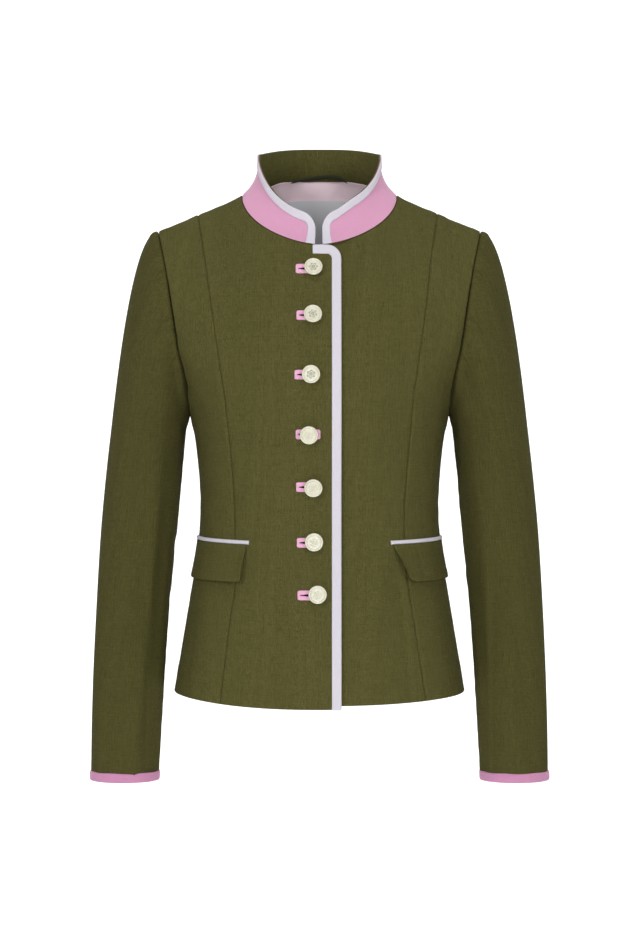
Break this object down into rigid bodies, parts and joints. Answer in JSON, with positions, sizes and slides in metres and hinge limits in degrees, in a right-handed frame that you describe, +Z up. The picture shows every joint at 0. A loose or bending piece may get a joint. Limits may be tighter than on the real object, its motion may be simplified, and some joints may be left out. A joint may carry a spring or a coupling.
{
  "type": "linen trachten jacket",
  "caption": "Fitted olive linen jacket with a rose stand collar, pale lilac edging, ivory buttons and pocket flaps, in its worn hollow form.",
  "frame": {"origin": "midway between the two points where the shoulder seams meet the neck seam, level with them: where a wearer's neck and shoulders carry it", "axes": "+Z up along the body, -Y out of the front, +X towards the wearer's left"},
  "size_m": [0.5176, 0.2467, 0.7166],
  "materials": {
    "olive_linen": "plain-woven linen with slubs, matt",
    "rose_cloth": "smooth rose cloth with a slight sheen",
    "lilac_braid": "fine ribbed braid, pale lilac",
    "blush_satin": "pale pink satin",
    "grey_satin": "grey satin, bare",
    "dark_cord": "dark olive flat cord",
    "ivory_button": "polished ivory, raised rim"
  },
  "bodies": {
    "root": {"front_right_centre": "olive_linen", "side_front_right": "olive_linen", "back_right": "olive_linen", "front_left_centre": "olive_linen", "side_front_left": "olive_linen", "back_left": "olive_linen", "sleeve_right": "olive_linen", "sleeve_left": "olive_linen", "collar_inner": "olive_linen", "pocket_flap_right": "olive_linen", "pocket_flap_left": "olive_linen", "collar_outer": "rose_cloth", "cuff_binding_right": "rose_cloth", "cuff_binding_left": "rose_cloth", "buttonhole_1": "rose_cloth", "buttonhole_2": "rose_cloth", "buttonhole_3": "rose_cloth", "buttonhole_4": "rose_cloth", "buttonhole_5": "rose_cloth", "buttonhole_6": "rose_cloth", "buttonhole_7": "rose_cloth", "collar_band_right": "lilac_braid", "collar_band_left": "lilac_braid", "front_band": "lilac_braid", "pocket_piping_right": "lilac_braid", "pocket_piping_left": "lilac_braid", "button_1": "ivory_button", "button_2": "ivory_button", "button_3": "ivory_button", "button_4": "ivory_button", "button_5": "ivory_button", "button_6": "ivory_button", "button_7": "ivory_button", "back_neck_facing": "blush_satin", "label": "grey_satin", "hanger_loop": "dark_cord"}
  },
  "joints": []
}
